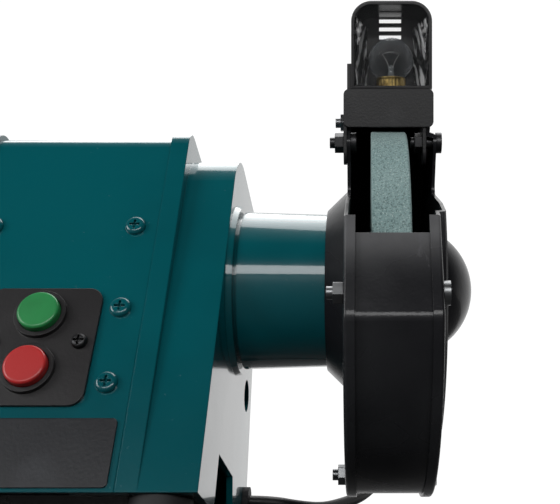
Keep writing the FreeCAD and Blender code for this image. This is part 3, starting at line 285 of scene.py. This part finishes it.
finishes = {
    "teal_paint": tealEnamel("tealEnamel"),
    "black_plate": satinBlack("plateBlack", (0.010, 0.011, 0.014), 0.36),
    "black_plastic": satinBlack("plasticBlack", (0.014, 0.013, 0.014), 0.38),
    "zinc_steel": metal("zincSteel", (0.20, 0.205, 0.21), 0.30),
    "green_plastic": moulded("greenButton", (0.02, 0.26, 0.07), 0.3),
    "red_plastic": moulded("redButton", (0.45, 0.02, 0.02), 0.3),
    "black_steel": guardCoat(),
    "rubber": rubber("footRubber"),
    "lamination": laminations(),
    "copper_winding": windings(),
    "can_aluminium": metal("canAluminium", (0.62, 0.62, 0.64), 0.35),
    "bright_steel": metal("brightSteel", (0.55, 0.55, 0.56), 0.22, 400.0, (0.2, 1.0, 1.0)),
    "abrasive": abrasive(),
    "cable_rubber": rubber("cableJacket", (0.010, 0.010, 0.011), 0.38),
    "lamp_plastic": satinBlack("lampBlack", (0.012, 0.012, 0.013), 0.22, 500.0, 0.00006),
    "lens": clearSkin("lensClear", (0.015, 0.017, 0.018), 0.10, 0.4),
    "bulb_brass": agedBrass(),
    "bulb_glass": clearSkin("bulbGlass", (0.30, 0.33, 0.35), 0.05, 1.6),
}
bracketBlack = satinBlack("bracketBlack", (0.013, 0.013, 0.014), 0.5, 1100.0, 0.00018)
blackZinc = metal("blackZinc", (0.05, 0.05, 0.052), 0.38)
screwTeal = tealEnamel("screwTeal")

for part in frame["record"]["subparts"]:
    piece = nodes[part["node"]]
    finish = finishes[part["material_slot"]]
    if part["node"].endswith("lamp_bracket"):
        finish = bracketBlack
    if part["node"] in ("lamp_pivot_bolts", "switch_screws", "mains_gland"):
        finish = blackZinc
    if part["node"].endswith("cover_screws"):
        finish = screwTeal
    piece.data.materials.clear()
    piece.data.materials.append(finish)
print("finishes on the frame's pieces")


# surfaces worked out on grids
def gridMesh(name, points, finish, closeAround=True):
    # a mesh over a grid of points, rows along the first parameter; columns join round when closeAround
    rows, columns = points.shape[:2]
    i, j = np.meshgrid(np.arange(rows - 1), np.arange(columns if closeAround else columns - 1), indexing="ij")
    nextColumn = (j + 1) % columns
    faces = np.stack([i * columns + j, i * columns + nextColumn, (i + 1) * columns + nextColumn,
                      (i + 1) * columns + j], axis=-1).reshape(-1, 4)
    mesh = bpy.data.meshes.new(name)
    mesh.from_pydata(points.reshape(-1, 3).tolist(), [], faces.tolist())
    mesh.materials.append(finish)
    mesh.polygons.foreach_set("use_smooth", np.full(len(mesh.polygons), True))
    mesh.update()
    piece = bpy.data.objects.new(name, mesh)
    bpy.context.scene.collection.objects.link(piece)
    return piece


def lathe(name, profile, origin, axis, finish, columns=72, flute=None):
    # points (radius, height) of a profile turned about an axis from origin; flute changes the radius by angle
    axis = Vector(axis).normalized()
    across = Vector((1, 0, 0))
    other = axis.cross(across)
    profile = np.array(profile)
    angle = np.linspace(0, 2 * math.pi, columns, endpoint=False)
    radius = profile[:, :1] * np.ones_like(angle)
    if flute is not None:
        radius = flute(radius, profile[:, 1:2], angle)
    ring = np.cos(angle)[None, :, None] * np.array(across) + np.sin(angle)[None, :, None] * np.array(other)
    points = np.array(origin) + radius[..., None] * ring + profile[:, 1][:, None, None] * np.array(axis)
    return gridMesh(name, points, finish)


def ride(piece, body, slotName, *replaced):
    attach(piece, body)
    if replaced:
        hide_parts(*replaced)
    return piece


def closeUp(piece):                 # joins seams and poles, and turns every face outwards
    work = bmesh.new()
    work.from_mesh(piece.data)
    bmesh.ops.remove_doubles(work, verts=work.verts, dist=1e-7)
    bmesh.ops.dissolve_degenerate(work, edges=work.edges, dist=1e-8)
    bmesh.ops.recalc_face_normals(work, faces=work.faces)
    work.to_mesh(piece.data)
    work.free()
    return piece


def wire(name, path, radius, finish, sides=10):
    # a circle of the radius carried along the path, square to it; both ends drawn to a point
    path = np.array(path)
    along = np.gradient(path, axis=0)
    along /= np.linalg.norm(along, axis=1, keepdims=True)
    helper = np.array([0.31, 0.95, 0.05])
    across = np.cross(along, helper)
    across /= np.linalg.norm(across, axis=1, keepdims=True)
    other = np.cross(along, across)
    angle = np.linspace(0, 2 * math.pi, sides, endpoint=False)
    width = np.full(len(path), radius)
    width[[0, -1]] = 0.0
    ring = np.cos(angle)[None, :, None] * across[:, None] + np.sin(angle)[None, :, None] * other[:, None]
    return closeUp(gridMesh(name, path[:, None] + width[:, None, None] * ring, finish))


# work lamps, sizes in metres
lampPlan = {"wheelX": 0.1417, "frontY": -0.0586, "baseZ": 0.189, "lean": math.radians(28.0), "offset": 0.0015,
            "bulbBack": 0.0116}
bulbPlan = {"radius": 0.01045, "rise": 0.0156, "neckRadius": 0.0059, "foot": 0.0044, "steps": 40}
capPlan = {"top": 0.007, "bottom": -0.009, "radius": 0.0068, "lip": 0.00018, "wall": 0.0008,
           "flutes": 26, "fluteDepth": 0.00028, "fluteLow": -0.004, "fluteHigh": 0.0062, "columns": 156}
stemPlan = [(0.0, 0.0046), (0.0036, 0.0046), (0.0030, 0.0068), (0.0016, 0.0086), (0.0012, 0.0112),
            (0.0015, 0.0124), (0.0008, 0.0132), (0.0, 0.0133)]
leadWirePlan = {"radius": 0.00022, "low": 0.0120, "climb": 0.0065, "startAcross": 0.0010, "spread": 0.0030}
filamentPlan = {"radius": 0.00007, "half": 0.0040, "rise": 0.0185, "arch": 0.0011, "coilRadius": 0.00030,
                "turns": 42, "steps": 420}
ribPlan = {"wall": 0.017, "low": 0.0024, "high": 0.0335, "front": 0.0022, "back": 0.0215,
           "standFront": 0.0010, "lean": 0.0052, "ripple": 0.00055, "thickness": 0.0003}
tungsten = metal("tungsten", (0.30, 0.29, 0.28), 0.35)
stemGlass = clearSkin("stemGlass", (0.50, 0.55, 0.57), 0.35, 0.6)
paintedStreakFinish = paintedStreakRib()
lampUp = np.array([0.0, -math.sin(lampPlan["lean"]), math.cos(lampPlan["lean"])])
lampBack = np.array([0.0, math.cos(lampPlan["lean"]), math.sin(lampPlan["lean"])])


def inLamp(side, x, back, rise):    # a place in a lamp, x counted outwards from the wheel's middle
    start = np.array([side * lampPlan["wheelX"], lampPlan["frontY"], lampPlan["baseZ"]])
    x, back, rise = [np.asarray(value, float)[..., None] for value in np.broadcast_arrays(x, back, rise)]
    return start + side * x * np.array([1.0, 0, 0]) + back * lampBack + rise * lampUp


def makeBulb(word, body, foot):             # a globe that narrows to its neck, closed underneath
    plan, radius = bulbPlan, bulbPlan["radius"]
    neckTurn = math.asin(plan["neckRadius"] / radius)
    sweep = np.linspace(math.pi - neckTurn, 0.0, plan["steps"])
    globe = [(radius * math.sin(turn), plan["rise"] + radius * math.cos(turn)) for turn in sweep]
    profile = [(0.0, plan["foot"]), (plan["neckRadius"], plan["foot"])] + globe
    glass = closeUp(lathe(word + "_bulb", profile, foot, lampUp, finishes["bulb_glass"]))
    ride(glass, body, "bulb_glass", word + "_bulb_glass")


def flutedCap(radius, height, angle):       # cosine grooves pressed round the cap below its lip
    plan = capPlan
    fadeIn = np.clip((height - plan["fluteLow"]) / 0.001, 0, 1)
    fadeOut = np.clip((plan["fluteHigh"] - height) / 0.0006, 0, 1)
    band = fadeIn * fadeOut * (radius > plan["radius"] - 0.0004)
    return radius - plan["fluteDepth"] * band * (0.5 + 0.5 * np.cos(plan["flutes"] * angle))


def makeCap(word, body, foot):
    low, top, wide = capPlan["bottom"], capPlan["top"], capPlan["radius"]
    inside = wide - capPlan["wall"]
    rows = [(0.0, low), (0.003, low), (0.0032, low + 0.001)]        # the contact underneath
    rows += [(wide - 0.0006, low + 0.0016), (wide, low + 0.0024)]
    rows += [(wide, rise) for rise in np.linspace(low + 0.003, top - 0.0008, 24)]
    rows += [(wide + capPlan["lip"], top - 0.0005), (wide, top), (inside, top), (inside, bulbPlan["foot"]),
             (0.0, bulbPlan["foot"])]
    brass = finishes["bulb_brass"]
    cap = lathe(word + "_bulb_collar", rows, foot, lampUp, brass, capPlan["columns"], flutedCap)
    ride(closeUp(cap), body, "bulb_brass", word + "_bulb_cap")


def makeStem(word, body, foot):
    stem = closeUp(lathe(word + "_bulb_stem", stemPlan, foot, lampUp, stemGlass, 36))
    ride(stem, body, "bulb_glass")


def makeWires(side, word, body):    # two lead wires that part as they rise, and a coil arched between them
    plan = leadWirePlan
    share = (np.linspace(-1, 1, 30) + 1) / 2
    for end, sign in (("a", -1.0), ("b", 1.0)):
        across = lampPlan["offset"] + sign * (plan["startAcross"] + plan["spread"] * share ** 1.6)
        path = inLamp(side, across, lampPlan["bulbBack"], plan["low"] + plan["climb"] * share)
        ride(wire(word + "_lead_wire_" + end, path, plan["radius"], tungsten), body, "bulb_brass")
    plan = filamentPlan
    along = np.linspace(-1, 1, plan["steps"])
    turn = plan["turns"] * math.pi * along
    path = inLamp(side, lampPlan["offset"] + plan["half"] * along,
                  lampPlan["bulbBack"] + plan["coilRadius"] * np.sin(turn),
                  plan["rise"] + plan["arch"] * (1 - along ** 2) + plan["coilRadius"] * np.cos(turn))
    ride(wire(word + "_filament", path, plan["radius"], tungsten, 6), body, "bulb_brass")


def makeRibs(side, word, body):             # rippled sheets along both walls, further in towards the back; they carry the painted reflection streaks
    plan = ribPlan
    for end, sign in (("inner", -1.0), ("outer", 1.0)):
        rise, back = np.meshgrid(np.linspace(plan["low"], plan["high"], 60),
                                 np.linspace(plan["front"], plan["back"], 40), indexing="ij")
        wave = np.sin(rise * 340.0 + 2.0 * np.sin(back * 260.0)) * np.sin(back * 190.0 + rise * 60.0)
        share = (back - plan["front"]) / (plan["back"] - plan["front"])
        stand = plan["standFront"] + plan["lean"] * share ** 1.3 + plan["ripple"] * wave
        points = inLamp(side, lampPlan["offset"] + sign * (plan["wall"] - stand), back, rise)
        sheet = gridMesh(word + "_lamp_liner_" + end, points, paintedStreakFinish, closeAround=False)
        thick = sheet.modifiers.new("thickness", "SOLIDIFY")
        thick.thickness = plan["thickness"]
        thick.offset = 0.0
        ride(sheet, body, "lens")


for side, word in ((1, "right"), (-1, "left")):
    lampBody = word + "_lamp"
    lampFoot = inLamp(side, lampPlan["offset"], lampPlan["bulbBack"], 0.0)
    makeBulb(word, lampBody, lampFoot)
    makeCap(word, lampBody, lampFoot)
    makeStem(word, lampBody, lampFoot)
    makeWires(side, word, lampBody)
    makeRibs(side, word, lampBody)
print("lamps made")


# lamp leads, from the back of each guard into the side of the casting
leadPlan = {"diameter": 0.006, "length": 0.1714, "exitAngle": math.radians(-12.0), "shaftZ": 0.115,
            "bandRadius": 0.090, "straightTo": 0.1114}
exitWay = np.array([0.0, math.cos(leadPlan["exitAngle"]), math.sin(leadPlan["exitAngle"])])
wheelMiddle = np.array([lampPlan["wheelX"], 0, 0])
leadRoute = [wheelMiddle + leadPlan["bandRadius"] * exitWay, wheelMiddle + leadPlan["straightTo"] * exitWay,
             (0.1417, 0.123, -0.0335), (0.141, 0.127, -0.049), (0.138, 0.1195, -0.063),
             (0.130, 0.106, -0.074), (0.119, 0.092, -0.081), (0.109, 0.079, -0.086),
             (0.098, 0.067, -0.0875), (0.084, 0.062, -0.086), (0.068, 0.062, -0.086)]
for side, word in ((1, "right"), (-1, "left")):
    line = bpy.data.curves.new(word + "_lamp_lead", "CURVE")
    line.dimensions = "3D"
    spline = line.splines.new("NURBS")
    spline.points.add(len(leadRoute) - 1)
    for point, place in zip(spline.points, leadRoute):
        point.co = (side * place[0], place[1], place[2] + leadPlan["shaftZ"], 1.0)
    spline.order_u = 3
    spline.use_endpoint_u = True
    spline.resolution_u = 12
    line.bevel_depth = leadPlan["diameter"] / 2
    line.bevel_resolution = 6
    line.use_fill_caps = True
    line.materials.append(finishes["cable_rubber"])
    lead = bpy.data.objects.new(word + "_lamp_lead", line)
    bpy.context.scene.collection.objects.link(lead)
    ride(lead, "frame", "cable_rubber", word + "_lamp_cable")
print("lamp leads made")


# stage, light and camera
def softbox(name, place, target, width, height, power):
    light = bpy.data.lights.new(name, "AREA")
    light.shape = "RECTANGLE"
    light.size = width
    light.size_y = height
    light.energy = power
    lamp = bpy.data.objects.new(name, light)
    lamp.location = place
    lamp.rotation_euler = (Vector(target) - Vector(place)).to_track_quat("-Z", "Y").to_euler()
    bpy.context.scene.collection.objects.link(lamp)


def benchTop():                     # dark from above, and nothing at all from below, where the camera is
    f = Finish("benchTop", (0.045, 0.045, 0.047), 0.6)
    f.set("Roughness", 0.55 + 0.1 * f.noise(8.0))
    under = f.node("ShaderNodeNewGeometry", {}, {}, "Backfacing")
    f.clear(1.0 - under)
    mesh = bpy.data.meshes.new("bench")
    reach = 3.0
    corners = [(-reach, -reach, 0), (reach, -reach, 0), (reach, reach, 0), (-reach, reach, 0)]
    mesh.from_pydata(corners, [], [(0, 1, 2, 3)])
    mesh.materials.append(f.material)
    piece = bpy.data.objects.new("bench", mesh)
    bpy.context.scene.collection.objects.link(piece)


lights = {
    "topBox": {"place": (0.1, 0.15, 1.3), "target": (0.0, 0.0, 0.1),
               "width": 1.4, "height": 0.9, "power": 14.0},
    "leftBox": {"place": (-1.1, -0.9, 0.35), "target": (0.05, 0.0, 0.12),
                "width": 0.7, "height": 0.9, "power": 10.0},
    "stripBox": {"place": (0.15, -1.2, 0.20), "target": (0.1, 0.0, 0.12),
                 "width": 1.3, "height": 0.26, "power": 7.0},
}
# strengths of the white surroundings, as the camera sees them and as they light each side
skyPlan = {"seen": 1.06, "front": 0.02, "behind": 0.85, "above": 0.30}
cameraPlan = {"lens": 53.9, "sensor": 36.0, "shift": -0.152, "near": 0.01,
              "place": (0.1311, -0.3618, -0.0566), "rise": math.radians(118.0)}

benchTop()
for name, plan in lights.items():
    softbox(name, **plan)

world = bpy.data.worlds.new("studio")
bpy.context.scene.world = world
world.use_nodes = True
sky = world.node_tree
background = sky.nodes["Background"]
way = sky.nodes.new("ShaderNodeTexCoord")
parts = sky.nodes.new("ShaderNodeSeparateXYZ")
sky.links.new(way.outputs["Generated"], parts.inputs[0])
behind = Sock(sky, parts.outputs["Y"]).ramp(-0.25, 0.55)
above = Sock(sky, parts.outputs["Z"]).ramp(0.70, 1.0)
seen = Sock(sky, sky.nodes.new("ShaderNodeLightPath").outputs["Is Camera Ray"])
glow = skyPlan["front"] + behind * skyPlan["behind"] + above * skyPlan["above"]
strength = seen * skyPlan["seen"] + (1.0 - seen) * glow
background.inputs["Color"].default_value = (1.0, 1.0, 1.0, 1.0)
sky.links.new(strength.socket, background.inputs["Strength"])

camera = bpy.data.cameras.new("camera")
camera.lens = cameraPlan["lens"]
camera.sensor_width = cameraPlan["sensor"]
camera.shift_x = cameraPlan["shift"]
camera.clip_start = cameraPlan["near"]
viewer = bpy.data.objects.new("camera", camera)
viewer.location = cameraPlan["place"]
viewer.rotation_euler = (cameraPlan["rise"], 0.0, 0.0)
bpy.context.scene.collection.objects.link(viewer)
bpy.context.scene.camera = viewer
bpy.context.scene.view_settings.view_transform = "Standard"
print("stage set")
